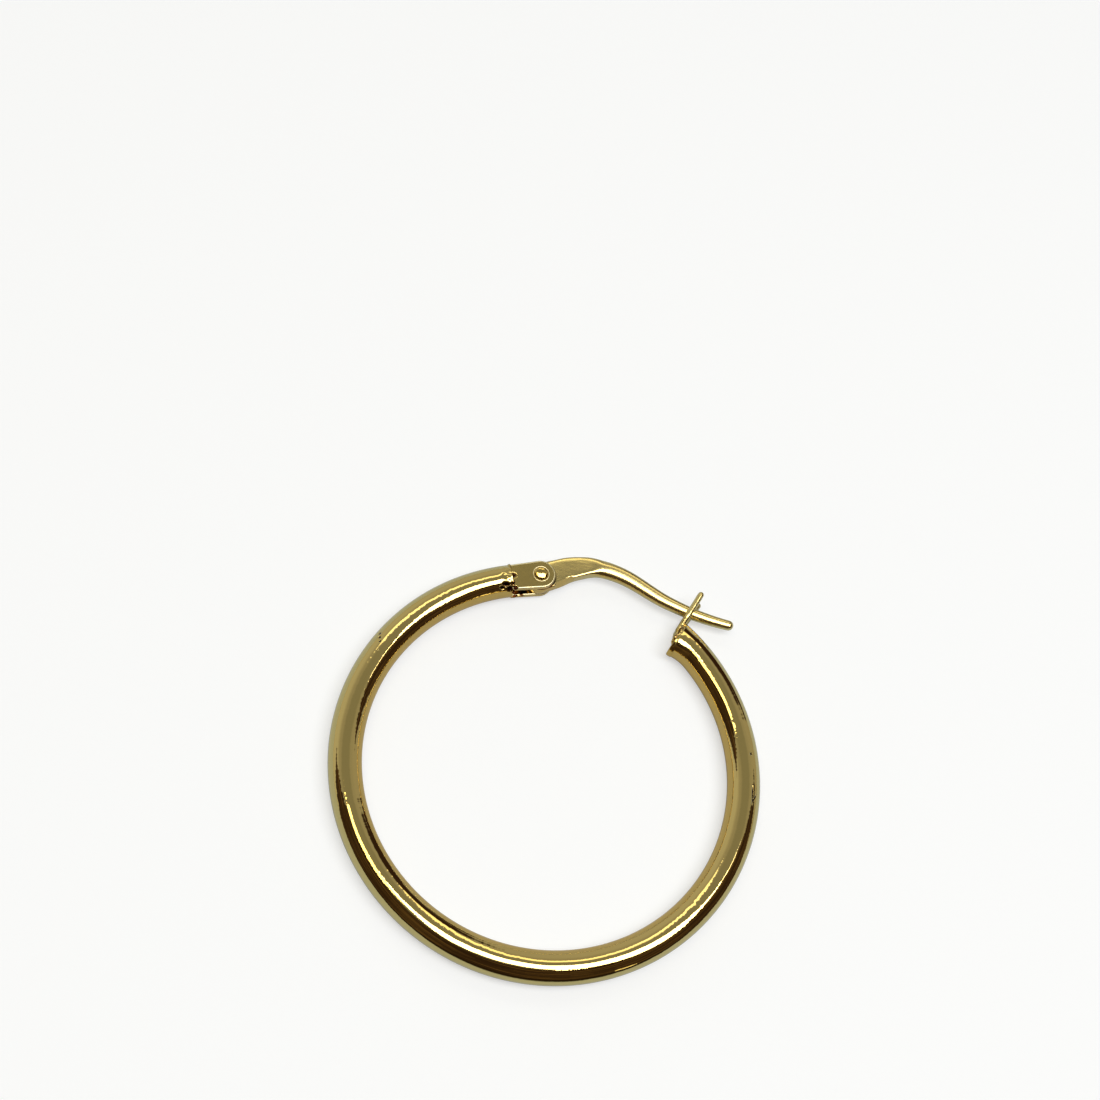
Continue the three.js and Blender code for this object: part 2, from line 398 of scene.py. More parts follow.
# Hinge cheeks: two flat plates of gold sheet, sawn out, soldered to a wall in the tube's end and
# polished. Their edges are chamfered, and each is round where the rivet goes through.
pivot_reach = 2.18 * mm
pivot_drop = 0.07 * mm
cheek_radius = 1.05 * mm
cheek_thickness = 0.4 * mm
slot_height = 0.9 * mm
cheek_root = 1.9 * mm
cheek_chamfer = 0.12 * mm
root_sunk, root_drop = 0.1 * mm, 0.03 * mm
hinge_frame = Matrix.Translation(hinge_at) @ Matrix.Rotation(hinge_end - math.pi / 2, 4, "Z")

# Flat polished gold: the same alloy as the tube, lapped flat, so it mirrors without ripples and
# only wanders a little where the polishing wheel dug in.
wander_pitch = 0.6 * mm
wander_height = 0.003 * mm
flat_gold, tree, shader = metal("flat_polished_gold", "#e4c97c", 0.07)
place = node(tree, "ShaderNodeTexCoord", {})
wander = node(
    tree,
    "ShaderNodeTexNoise",
    {"Vector": place.outputs["Object"], "Scale": 1 / wander_pitch, "Detail": 1.0},
)
tool_marks = node(
    tree,
    "ShaderNodeBump",
    {"Height": wander.outputs["Fac"], "Distance": wander_height, "Strength": 1.0},
)


def solder_pits(tree, place):
    """The two burnt pits in the solder between the tube's end and the upper cheek."""
    return [
        hollow(tree, place, hinge_frame @ (Vector((0.1, 0.08, 0.98)) * mm), (0.42, 0.27, 0.5)),
        hollow(tree, place, hinge_frame @ (Vector((0.14, -0.93, 0.85)) * mm), (0.22, 0.22, 0.26)),
    ]


pitted(tree, shader, tool_marks, solder_pits(tree, place), stained_depth, "#e4c97c", "#3a1a0c")

# Edge gold: the same gold where handling has rubbed the sharp edges round and soft, with a paler colour
# that paints a bright highlight line along each edge.
rub_pitch = 0.4 * mm
rub_height = 0.01 * mm
# Painted highlight: the pale cream colour makes each edge read as a bright highlight line.
edge_highlight_gold, tree, shader = metal("edge_highlight_gold", "#fbeebd", 0.4)
place = node(tree, "ShaderNodeTexCoord", {})
rubbed = node(
    tree,
    "ShaderNodeTexNoise",
    {"Vector": place.outputs["Object"], "Scale": 1 / rub_pitch, "Detail": 1.0},
)
rubs = node(
    tree, "ShaderNodeBump", {"Height": rubbed.outputs["Fac"], "Distance": rub_height, "Strength": 1.0}
)
pitted(tree, shader, rubs, solder_pits(tree, place), stained_depth, "#fbeebd", "#3a1a0c")


def settle(piece, matrix):
    """Puts a piece that was modelled in its own frame in its place, in its mesh."""
    piece.data.transform(matrix @ piece.matrix_basis)
    piece.matrix_basis = Matrix()


def cheek(name, low):
    """One cheek, with its lower face at the height low over the tube's middle."""
    bpy.ops.mesh.primitive_circle_add(
        vertices=72, radius=cheek_radius, fill_type="NGON", location=(pivot_reach, -pivot_drop, low)
    )
    plate = bpy.context.object
    plate.name = name
    bpy.ops.object.transform_apply(location=True, rotation=True, scale=True)
    bpy.ops.object.mode_set(mode="EDIT")
    select_where(plate, lambda co: co.x < pivot_reach - 0.01 * mm)
    bpy.ops.transform.resize(
        value=(0, cheek_root / cheek_radius / 2, 1), center_override=(0, -pivot_drop, low)
    )
    bpy.ops.transform.translate(value=(-root_sunk, pivot_drop - root_drop, 0))
    bpy.ops.mesh.select_all(action="SELECT")
    bpy.ops.mesh.extrude_region_move(TRANSFORM_OT_translate={"value": (0, 0, cheek_thickness)})
    bpy.ops.mesh.select_all(action="SELECT")
    bpy.ops.mesh.dissolve_limited(angle_limit=math.radians(0.5))
    bpy.ops.mesh.normals_make_consistent(inside=False)
    bpy.ops.object.mode_set(mode="OBJECT")
    smooth(30)
    edge = plate.modifiers.new("edge", "BEVEL")
    edge.width = cheek_chamfer
    edge.segments = 4
    edge.limit_method = "ANGLE"
    edge.angle_limit = math.radians(40)
    edge.harden_normals = True
    # The chamfers take the edge gold, whose pale colour is a painted highlight.
    edge.material = 1
    plate.data.materials.append(flat_gold)
    plate.data.materials.append(edge_highlight_gold)
    bake_modifiers(plate)
    settle(plate, hinge_frame)
    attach(plate, "hoop")
    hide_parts("hoop")


cheek("upper_cheek", slot_height / 2)
cheek("lower_cheek", -slot_height / 2 - cheek_thickness)

# Hinge end wall: a disc of gold sheet let into the tube's end and soldered there. It closes the
# hollow tube, and the cheeks are soldered to it. Its rim is chamfered.
wall_inset = 0.04 * mm
wall_thickness, wall_proud = 0.35 * mm, 0.05 * mm
bpy.ops.mesh.primitive_cylinder_add(
    vertices=72,
    radius=tube_radius - wall_inset,
    depth=wall_thickness,
    location=(wall_proud - wall_thickness / 2, 0, 0),
    rotation=(0, math.pi / 2, 0),
)
wall = bpy.context.object
wall.name = "hinge_end_wall"
edge = wall.modifiers.new("edge", "BEVEL")
edge.width = 0.08 * mm
edge.segments = 3
edge.angle_limit = math.radians(40)
bake_modifiers(wall)
settle(wall, hinge_frame)
smooth(40)
wall.data.materials.append(flat_gold)
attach(wall, "hoop")
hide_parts("hoop")

# Hinge solder: gold solder that ran along the joint between the tube's end and the cheeks, and
# set in uneven beads. It is left unpolished in its hollows, where it stays brown.
bead_pitch = 0.33 * mm
bead_height = 0.03 * mm
burnt_depth = 0.06 * mm
solder_gold, tree, shader = metal("solder_gold", "#e2c983", 0.09)
place = node(tree, "ShaderNodeTexCoord", {})
flow = node(
    tree,
    "ShaderNodeTexNoise",
    {"Vector": place.outputs["Object"], "Scale": 1 / bead_pitch, "Detail": 1.0},
)
beads = node(
    tree, "ShaderNodeBump", {"Height": flow.outputs["Fac"], "Distance": bead_height, "Strength": 1.0}
)
burnt = node(
    tree, "ShaderNodeMapRange", {"Value": flow.outputs["Fac"], "From Min": 0.5, "From Max": 0.38}
)
stain = node(
    tree,
    "ShaderNodeMix",
    {0: burnt.outputs[0], 6: linear("#d9bd76"), 7: linear("#6a3416")},
    data_type="RGBA",
)
pitted(tree, shader, beads, solder_pits(tree, place), burnt_depth, stain.outputs[2], "#3a1a0c")
lumpy_flow = bpy.data.textures.new("solder_flow", "CLOUDS")
lumpy_flow.noise_scale = 0.22 * mm


def rod(name, points):
    """A round rod along points, each with its place in mm and its radius in mm."""
    curve_data = bpy.data.curves.new(name, "CURVE")
    curve_data.dimensions = "3D"
    curve_data.bevel_depth = mm
    curve_data.bevel_resolution = 6
    curve_data.use_fill_caps = True
    spline = curve_data.splines.new("BEZIER")
    spline.resolution_u = 8
    spline.bezier_points.add(len(points) - 1)
    for handle, (x, y, z, radius) in zip(spline.bezier_points, points):
        handle.co = Vector((x, y, z)) * mm
        handle.radius = radius
        handle.handle_left_type = handle.handle_right_type = "AUTO"
    piece = bpy.data.objects.new(name, curve_data)
    bpy.context.collection.objects.link(piece)
    bpy.ops.object.select_all(action="DESELECT")
    piece.select_set(True)
    bpy.context.view_layer.objects.active = piece
    bpy.ops.object.convert(target="MESH")
    bpy.ops.object.mode_set(mode="EDIT")
    bpy.ops.mesh.select_all(action="SELECT")
    bpy.ops.mesh.remove_doubles(threshold=hair)
    bpy.ops.mesh.normals_make_consistent(inside=False)
    bpy.ops.object.mode_set(mode="OBJECT")
    return bpy.context.object


def solder(name, frame_of, points):
    """A run of solder: a thin rod whose thickness follows the beads, with an uneven surface."""
    run = rod(name, points)
    lumps = run.modifiers.new("lumps", "DISPLACE")
    lumps.texture = lumpy_flow
    lumps.strength = 0.09 * mm
    lumps.mid_level = 0.5
    bake_modifiers(run)
    settle(run, frame_of)
    smooth(60)
    run.data.materials.append(solder_gold)
    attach(run, "hoop")
    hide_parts("hoop")


solder(
    "hinge_solder",
    hinge_frame,
    [
        (0.0, 1.0, 0.5, 0.05), (0.03, 0.9, 0.7, 0.11), (0.02, 0.66, 0.86, 0.12),
        (-0.02, 0.48, 0.9, 0.09), (-0.1, 0.25, 0.95, 0.05), (-0.1, -0.1, 0.95, 0.05),
        (0.0, -0.32, 0.93, 0.1), (0.02, -0.48, 0.92, 0.15), (0.01, -0.64, 0.87, 0.1),
        (-0.03, -0.85, 0.75, 0.08), (-0.02, -1.02, 0.5, 0.11), (0.0, -1.06, 0.3, 0.05),
    ],
)
solder(
    "lower_hinge_solder",
    hinge_frame,
    [
        (0.0, -1.02, -0.55, 0.05), (0.2, -0.99, -0.52, 0.1), (0.38, -0.98, -0.52, 0.11),
        (0.55, -0.98, -0.53, 0.06), (0.75, -0.98, -0.52, 0.1), (0.95, -0.98, -0.53, 0.05),
    ],
)

# Rivet: a pin of gold wire, spread at both ends into a domed head that holds the hinge together.
rivet_radius = 0.3 * mm
head_radius = 0.5 * mm
rivet_fit = 0.03 * mm
head_tilt, tilt_over = math.radians(8), 0.12 * mm
hinge_half = slot_height / 2 + cheek_thickness

# Rivet gold: harder gold wire, a little redder, polished but left with the marks of the hammer.
hammer_pitch = 0.3 * mm
hammer_height = 0.012 * mm
rivet_gold, tree, shader = metal("rivet_gold", "#dfc070", 0.05)
place = node(tree, "ShaderNodeTexCoord", {})
hammered = node(
    tree,
    "ShaderNodeTexNoise",
    {"Vector": place.outputs["Object"], "Scale": 1 / hammer_pitch, "Detail": 2.0},
)
dints = node(
    tree,
    "ShaderNodeBump",
    {"Height": hammered.outputs["Fac"], "Distance": hammer_height, "Strength": 1.0},
)
tree.links.new(dints.outputs["Normal"], shader.inputs["Normal"])
pivot = hinge_frame @ Vector((pivot_reach, -pivot_drop, 0))
bpy.ops.mesh.primitive_cylinder_add(
    vertices=48, radius=rivet_radius, depth=2 * (hinge_half + rivet_fit), location=pivot
)
rivet = bpy.context.object
rivet.name = "rivet"
bpy.ops.object.transform_apply(location=True, rotation=True, scale=True)
bpy.ops.object.mode_set(mode="EDIT")

# Each head: one step out to its rim, then rings that narrow and rise by less and less.
for side in (1, -1):
    under = pivot.z + side * (hinge_half + rivet_fit)
    select_where(rivet, lambda co: abs(co.z - under) < 0.01 * mm, "faces")
    for spread, rise in (
        (head_radius / rivet_radius, 0), (0.98, 0.05), (0.95, 0.045), (0.9, 0.034),
        (0.84, 0.026), (0.75, 0.02), (0.65, 0.013), (0.4, 0.008),
    ):
        bpy.ops.mesh.extrude_region_move(TRANSFORM_OT_translate={"value": (0, 0, side * rise * mm)})
        bpy.ops.transform.resize(value=(spread, spread, 1), center_override=pivot)
bpy.ops.mesh.select_all(action="SELECT")
bpy.ops.mesh.normals_make_consistent(inside=False)
bpy.ops.object.mode_set(mode="OBJECT")
for vertex in rivet.data.vertices:
    proud = abs(vertex.co.z - pivot.z) - hinge_half - rivet_fit
    if proud > 0.02 * mm:
        vertex.co.z += (vertex.co.y - pivot.y) * min(proud / tilt_over, 1) * math.tan(head_tilt)
smooth(50)
rivet.data.materials.append(rivet_gold)
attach(rivet, "hoop")
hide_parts("hinge_rivet")

# Burr: the thin, slightly uneven ring of metal that the punch raised from the upper cheek, round
# the rivet's head. It is part of the cheek's own gold and rubbed soft by handling. Its paler colour
# paints a highlight ring round the head.
burr_radius = 0.565 * mm
burr_thickness = 0.09 * mm
burr_sunk = 0.008 * mm
bpy.ops.mesh.primitive_torus_add(
    major_segments=96,
    minor_segments=16,
    major_radius=burr_radius,
    minor_radius=burr_thickness / 2,
    location=pivot + Vector((0, 0, hinge_half - burr_sunk)),
)
burr = bpy.context.object
burr.name = "rivet_burr"
lumps = burr.modifiers.new("lumps", "DISPLACE")
lumps.texture = lumpy_flow
lumps.strength = 0.02 * mm
bake_modifiers(burr)
settle(burr, Matrix())
smooth(60)
burr.data.materials.append(edge_highlight_gold)
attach(burr, "hoop")
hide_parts("hoop")

# Ear wire: one length of gold wire, pressed flat into a lug with an eye where it turns in the
# hinge, then drawn round, arched to pass the ear lobe, and tapered to a rounded tip. Each size
# below is its width and its height in millimetres.
lug_size = (2.06, 0.8)
arch_size = (1.27, 1.0)
seat_size = (0.86, 0.84)
tip_size = (0.7, 0.7)
catch_lean = math.radians(12)
catch_frame = Matrix.Translation(centre + direction(catch_end) * ring_radius) @ Matrix.Rotation(
    catch_end + catch_lean + math.pi / 2, 4, "Z"
)
fork_width = 0.42 * mm
fork_floor = 1.62 * mm
wire_clearance = 0.1 * mm
seat_out = fork_floor + wire_clearance + seat_size[0] / 2 * mm
seat = catch_frame @ Vector((fork_width / 2, -seat_out, 0))
span = (seat - pivot).length
arch_height = 1.82 * mm
tail_length = 3.3 * mm
lug_share = 0.38
wire_frame = Matrix.Translation(pivot) @ Matrix.Rotation(
    math.atan2(seat.y - pivot.y, seat.x - pivot.x), 4, "Z"
)
arch_route = [
    (0, 0), (0.1, 0.35), (0.17, 0.62), (0.25, 0.83), (0.32, 0.96), (0.395, 1), (0.475, 0.96),
    (0.56, 0.85), (0.645, 0.67), (0.73, 0.46), (0.81, 0.28), (0.9, 0.13), (1, 0),
]
tail_route = [(0.35, -0.09), (0.7, -0.14), (1, -0.16)]

# Drawn gold: wire pulled through a die, with faint marks along its length. The lug is polished,
# and the round part is rubbed duller by the ear. A painted shade darkens the lug's flat faces in a thin
# ring along the cheeks' round ends, where the cheeks shade the lug and are mirrored in it.
mark_length = 0.9 * mm
mark_width = 0.28 * mm
mark_height = 0.005 * mm
shade_ring_starts = 1.22 * mm
shade_ring_full = 1.1 * mm
flat_starts = 0.36 * mm
rubbed_from = 3.6 * mm
rubbed_full = 6 * mm
lug_roughness, rubbed_roughness = 0.15, 0.24
drawn_gold, tree, shader = metal("drawn_gold", "#ebd48e", lug_roughness)
place = node(tree, "ShaderNodeTexCoord", {})
stretch = node(
    tree,
    "ShaderNodeMapping",
    {
        "Vector": place.outputs["Object"],
        "Scale": (1 / mark_length, 1 / mark_width, 1 / mark_width),
    },
)
drawing = node(
    tree, "ShaderNodeTexNoise", {"Vector": stretch.outputs[0], "Scale": 1.0, "Detail": 3.0}
)
draw_marks = node(
    tree, "ShaderNodeBump", {"Height": drawing.outputs["Fac"], "Distance": mark_height, "Strength": 1.0}
)
tree.links.new(draw_marks.outputs["Normal"], shader.inputs["Normal"])
from_pivot = node(
    tree, "ShaderNodeVectorMath", {0: place.outputs["Object"], 1: pivot}, operation="SUBTRACT"
)
level = node(
    tree, "ShaderNodeVectorMath", {0: from_pivot.outputs[0], 1: (1, 1, 0)}, operation="MULTIPLY"
)
away = node(tree, "ShaderNodeVectorMath", {0: level.outputs[0]}, operation="LENGTH")
round_eye = node(
    tree,
    "ShaderNodeMapRange",
    {"Value": away.outputs["Value"], "From Min": shade_ring_starts, "From Max": shade_ring_full},
)
rubbed = node(
    tree,
    "ShaderNodeMapRange",
    {
        "Value": away.outputs["Value"],
        "From Min": rubbed_from,
        "From Max": rubbed_full,
        "To Min": lug_roughness,
        "To Max": rubbed_roughness,
    },
)
tree.links.new(rubbed.outputs[0], shader.inputs["Roughness"])
rise = node(tree, "ShaderNodeSeparateXYZ", {0: from_pivot.outputs[0]})
height = node(tree, "ShaderNodeMath", {0: rise.outputs["Z"]}, operation="ABSOLUTE")
on_flat = node(
    tree, "ShaderNodeMath", {0: height.outputs[0], 1: flat_starts}, operation="GREATER_THAN"
)
# Painted shade: the dark brown on the lug's flat faces, in the thin ring just outside the cheeks,
# stands in for the cheeks' shadow and their mirrored edge.
painted_shade = node(
    tree, "ShaderNodeMath", {0: round_eye.outputs[0], 1: on_flat.outputs[0]}, operation="MULTIPLY"
)
painted_shade_colour = node(
    tree,
    "ShaderNodeMix",
    {0: painted_shade.outputs[0], 6: linear("#ebd48e"), 7: linear("#3a2412")},
    data_type="RGBA",
)
tree.links.new(painted_shade_colour.outputs[2], shader.inputs["Base Color"])

# The wire's middle line: a smooth curve through the route, read off at close steps.
curve_data = bpy.data.curves.new("wire_route", "CURVE")
spline = curve_data.splines.new("BEZIER")
points = [Vector((x * span, y * arch_height, 0)) for x, y in arch_route]
points += [Vector((span + x * tail_length, y * arch_height, 0)) for x, y in tail_route]
spline.bezier_points.add(len(points) - 1)
for handle, point in zip(spline.bezier_points, points):
    handle.co = point
    handle.handle_left_type = handle.handle_right_type = "AUTO"
guide = bpy.data.objects.new("wire_route", curve_data)
bpy.context.collection.objects.link(guide)
bpy.context.view_layer.update()
line = []
for one, two in zip(spline.bezier_points[:-1], spline.bezier_points[1:]):
    line += interpolate_bezier(one.co, one.handle_right, two.handle_left, two.co, 40)[:-1]
line.append(spline.bezier_points[-1].co.copy())
bpy.data.objects.remove(guide)
line = np.array([p[:2] for p in line])
lengths = np.concatenate([[0], np.cumsum(np.linalg.norm(np.diff(line, axis=0), axis=1))])

# A cylinder with many rings is laid along that line. Each ring gets the wire's section there: a
# flat bar with tight corners at the lug, and nearly an oval farther on.
rings = 160
tip_rings = 10
tip = 0.35 * mm
flat_power = 9
round_power = 2.35
round_from, round_over = 2.6 * mm, 1.8 * mm
facet_from, facet_to = 0.7 * mm, 1.95 * mm
facet_slope, facet_inset = 2.1, 0.5 * mm
twist, twist_from, twist_over = math.radians(11), 3.2 * mm, 2.2 * mm
bpy.ops.mesh.primitive_cylinder_add(vertices=64, radius=1, depth=1, rotation=(0, 0, math.pi / 64))
wire = bpy.context.object
wire.name = "ear_wire_gold"
bpy.ops.object.transform_apply(location=True, rotation=True, scale=True)
bpy.ops.object.mode_set(mode="EDIT")
bpy.ops.mesh.select_mode(type="EDGE")
bpy.ops.mesh.select_all(action="DESELECT")
bpy.ops.object.mode_set(mode="OBJECT")
for edge in wire.data.edges:
    low, high = (wire.data.vertices[i].co.z for i in edge.vertices)
    edge.select = abs(low - high) > 0.5
bpy.ops.object.mode_set(mode="EDIT")
bpy.ops.mesh.subdivide(number_cuts=rings - 1)
bpy.ops.object.mode_set(mode="OBJECT")
body = (rings - tip_rings) / rings


def ease(value):
    """Rises smoothly from 0 to 1 and is level before and after."""
    value = min(max(value, 0), 1)
    return value * value * (3 - 2 * value)


def on_line(reach):
    return np.array([np.interp(reach, lengths, line[:, i]) for i in (0, 1)])


def girth(which, lug, drawn, tail):
    """The wire's width (0) or height (1) in mm, by how far it is lug, drawn out, and tail."""
    size = np.interp(drawn, (0, 1), (arch_size[which], seat_size[which]))
    size = np.interp(tail, (0, 1), (size, tip_size[which]))
    return np.interp(lug, (0, 1), (size, lug_size[which]))


for vertex in wire.data.vertices:
    share = vertex.co.z + 0.5
    turn = max(0, (share - body) / (1 - body)) * math.radians(88)
    reach = min(share / body, 1) * (lengths[-1] - tip) + tip * math.sin(turn)
    middle = on_line(reach)
    ahead, behind = on_line(reach + 0.02 * mm), on_line(reach - 0.02 * mm)
    side_x, side_y = (ahead - behind) / np.linalg.norm(ahead - behind)
    x = middle[0]
    lug = 1 - ease(x / (lug_share * span))
    drawn = min(max((x / span - lug_share) / (1 - lug_share), 0), 1)
    tail = min(max((x - span) / tail_length, 0), 1)
    width, height = girth(0, lug, drawn, tail), girth(1, lug, drawn, tail)
    power = round_power + (flat_power - round_power) * (1 - ease((x - round_from) / round_over))
    round_off = math.cos(turn) / 2
    flat_out = math.copysign(abs(vertex.co.x) ** (2 / power), vertex.co.x) * width * round_off * mm
    flat_up = math.copysign(abs(vertex.co.y) ** (2 / power), vertex.co.y) * height * round_off * mm
    if flat_out > 0 and facet_from < x < facet_to:
        proud = (flat_out - width * mm / 2) * facet_slope + flat_up - height * mm / 2 + facet_inset
        flat_out -= max(0, proud) / facet_slope
    turned = twist * ease((x - twist_from) / twist_over)
    sideways = flat_out * math.cos(turned) + flat_up * math.sin(turned)
    upward = flat_up * math.cos(turned) - flat_out * math.sin(turned)
    vertex.co = (middle[0] + side_y * sideways, middle[1] - side_x * sideways, upward)

# The eye: the lug's round end, pressed from the same wire, so it is joined to it as one piece.
bpy.ops.mesh.primitive_cylinder_add(vertices=72, radius=cheek_radius, depth=lug_size[1] * mm)
eye = bpy.context.object
edge = eye.modifiers.new("edge", "BEVEL")
edge.width = 0.06 * mm
edge.segments = 2
bake_modifiers(eye)
wire.select_set(True)
bpy.context.view_layer.objects.active = wire
bpy.ops.object.join()
bpy.ops.object.mode_set(mode="EDIT")
bpy.ops.mesh.select_all(action="SELECT")
bpy.ops.mesh.normals_make_consistent(inside=False)
bpy.ops.object.mode_set(mode="OBJECT")
settle(wire, wire_frame)
smooth(30)
wire.data.materials.clear()
wire.data.materials.append(drawn_gold)
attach(wire, "ear_wire")
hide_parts("ear_wire")

# Catch: a plate soldered over the tube's leaning end, and on it a fork of two prongs bent out of
# round gold wire, whose roots run down over the plate. The ear wire lies between the prongs.
catch_plate_radius = tube_radius - 0.09 * mm
catch_plate_thickness, catch_plate_proud = 0.4 * mm, 0.1 * mm
bpy.ops.mesh.primitive_cylinder_add(
    vertices=72,
    radius=catch_plate_radius,
    depth=catch_plate_thickness,
    location=(catch_plate_proud - catch_plate_thickness / 2, 0, 0),
    rotation=(0, math.pi / 2, 0),
)
plate = bpy.context.object
plate.name = "catch_plate"
edge = plate.modifiers.new("edge", "BEVEL")
edge.width = 0.08 * mm
edge.segments = 3
edge.angle_limit = math.radians(40)
bake_modifiers(plate)
stretch_in = (lip_spread / 2) / catch_plate_radius
widened = Matrix.Diagonal((1, 1 + stretch_in, 1, 1))
settle(plate, catch_frame @ Matrix.Translation((0, lip_spread / 2, 0)) @ widened)
smooth(40)
plate.data.materials.append(flat_gold)
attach(plate, "hoop")
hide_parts("hoop")

prong_radius = 0.225
prong_route = [
    (0.3, 0.24), (0.8, 0.33), (1.2, 0.5), (1.5, 0.63), (1.75, 0.685), (2.3, 0.74), (2.9, 0.8),
    (3.35, 0.85), (3.45, 0.86), (3.53, 0.868), (3.59, 0.873), (3.63, 0.877), (3.645, 0.878),
]
prong_girth = [1, 1, 1, 1, 1, 1, 1, 1, 0.97, 0.87, 0.7, 0.45, 0.05]
for name, side, slant, root in (
    ("upper_prong", 1, 0, [(-0.45, 0.6, 0.06), (-0.3, 0.58, 0.1), (0, 0.42, 0.16)]),
    ("lower_prong", -1, -0.07, [(-0.3, -0.1, 0.04), (-0.2, -0.05, 0.08), (0, 0.08, 0.14)]),
):
    route = [(out, rise, reach, 1) for out, rise, reach in root] + [
        (out, rise, fork_width / mm / 2, girth) for (out, rise), girth in zip(prong_route, prong_girth)
    ]
    prong = rod(
        name,
        [
            (reach + slant * max(out, 0), -out, side * rise, prong_radius * girth)
            for out, rise, reach, girth in route
        ],
    )
    settle(prong, catch_frame)
    smooth(50)
    prong.data.materials.append(drawn_gold)
    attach(prong, "hoop")
    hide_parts("hoop")

# Catch solder: gold solder that holds the prongs' roots to the plate. It set in small bright
# beads round the edge of the plate and between the roots.
solder(
    "catch_solder",
    catch_frame,
    [
        (0.1, -0.85, 0.45, 0.06), (0.15, -0.62, 0.7, 0.13), (0.1, -0.4, 0.88, 0.12),
        (0.0, -0.22, 0.97, 0.09), (0.06, 0.05, 0.98, 0.05), (0.12, 0.3, 0.92, 0.08),
        (0.16, 0.5, 0.82, 0.13), (0.14, 0.75, 0.62, 0.05),
    ],
)
solder(
    "prong_root_solder",
    catch_frame,
    [(0.1, 0.35, 0.66, 0.08), (0.14, 0.5, 0.56, 0.16), (0.12, 0.64, 0.4, 0.13), (0.08, 0.8, 0.2, 0.06)],
)

# Ground: a sheet of matt white paper on a darker table. The camera sees it bleached almost to
# white. The metal mirrors it as it is: mid grey, bluer outside the ring, and dark past the
# paper's near edge, where the table starts.
ground_size = 3
shade_starts, shade_full = 13 * mm, 15 * mm
paper_ends, table_starts = -18 * mm, -20.5 * mm
bleach = 0.545
bpy.ops.mesh.primitive_plane_add(size=ground_size)
ground = bpy.context.object
ground.name = "ground"
paper = bpy.data.materials.new("matt_white_paper")
paper.use_nodes = True
tree = paper.node_tree
shader = tree.nodes["Principled BSDF"]
shader.inputs["Roughness"].default_value = 0.9
shader.inputs["Specular IOR Level"].default_value = 0
place = node(tree, "ShaderNodeTexCoord", {})
part = node(tree, "ShaderNodeSeparateXYZ", {0: place.outputs["Object"]})
level = node(
    tree, "ShaderNodeVectorMath", {0: place.outputs["Object"], 1: (1, 1, 0)}, operation="MULTIPLY"
)
from_middle = node(tree, "ShaderNodeVectorMath", {0: level.outputs[0]}, operation="LENGTH")
outside = node(
    tree,
    "ShaderNodeMapRange",
    {"Value": from_middle.outputs["Value"], "From Min": shade_starts, "From Max": shade_full},
)
paper_shade = node(
    tree,
    "ShaderNodeMix",
    {0: outside.outputs[0], 6: linear("#b7b5b0"), 7: linear("#bccadf")},
    data_type="RGBA",
)
past_edge = node(
    tree,
    "ShaderNodeMapRange",
    {"Value": part.outputs["Y"], "From Min": paper_ends, "From Max": table_starts},
)
lying = node(
    tree,
    "ShaderNodeMix",
    {0: past_edge.outputs[0], 6: paper_shade.outputs[2], 7: linear("#2a2018")},
    data_type="RGBA",
)
rays = node(tree, "ShaderNodeLightPath", {})
seen = node(
    tree,
    "ShaderNodeMix",
    {0: rays.outputs["Is Camera Ray"], 6: lying.outputs[2], 7: linear("#b3b7bd")},
    data_type="RGBA",
)
tree.links.new(seen.outputs[2], shader.inputs["Base Color"])
glow = node(
    tree, "ShaderNodeMath", {0: rays.outputs["Is Camera Ray"], 1: bleach}, operation="MULTIPLY"
)
tree.links.new(glow.outputs[0], shader.inputs["Emission Strength"])
shader.inputs["Emission Color"].default_value = (1, 1, 1, 1)
ground.data.materials.append(paper)

# Light: one wide soft box overhead with three small bright panes round it, pale walls behind and to
# the sides, and a dim room on the side of the camera, which the polished metal shows as brown bands.
box_distance = 0.5


def soft_box(name, east, north, width, depth, brightness, colour="#fffdf8"):
    """A soft box that faces the earring. All four sizes are shares of its height over it."""
    height = box_distance / math.sqrt(1 + east * east + north * north)
    middle = Vector((east, north, 1)) * height
    wide, deep = width * height, depth * height
    data = bpy.data.lights.new(name, "AREA")
    data.shape = "RECTANGLE"
    data.size = wide
    data.size_y = deep
    data.energy = brightness * math.pi * wide * deep
    data.color = linear(colour)[:3]
    lamp = bpy.data.objects.new(name, data)
    bpy.context.collection.objects.link(lamp)
    away = middle.normalized()
    sideways = (Vector((1, 0, 0)) - away * away.x).normalized()
    turned = Matrix((sideways, away.cross(sideways), away)).transposed()
    lamp.matrix_world = Matrix.Translation(middle) @ turned.to_4x4()


soft_box("main", 0.2, -0.14, 0.9, 0.42, 6)
soft_box("east", 0.69, 0.12, 0.06, 0.1, 3)
soft_box("west", -0.37, 0.02, 0.26, 0.34, 4, "#fff0c0")
soft_box("south", 0.26, -0.4, 0.07, 0.2, 4.5)

world = bpy.data.worlds.new("room")
bpy.context.scene.world = world
world.use_nodes = True
tree = world.node_tree
tree.nodes.clear()
ray = node(tree, "ShaderNodeTexCoord", {})
part = node(tree, "ShaderNodeSeparateXYZ", {0: ray.outputs["Generated"]})
height = part.outputs["Z"]

# Walls and ceiling: paler to the west, and dimmer towards the ceiling in two steps.
light = (0.5, 0.5, 0.47, 1)
for value, starts, full, colour in (
    (part.outputs["X"], -0.8, 0.8, (0.37, 0.36, 0.33, 1)),
    (height, 0.5, 0.72, (0.34, 0.335, 0.31, 1)),
    (height, 0.8, 0.88, (0.26, 0.26, 0.235, 1)),
):
    share = node(tree, "ShaderNodeMapRange", {"Value": value, "From Min": starts, "From Max": full})
    mixed = node(
        tree, "ShaderNodeMix", {0: share.outputs[0], 6: light, 7: colour}, data_type="RGBA"
    )
    light = mixed.outputs[2]

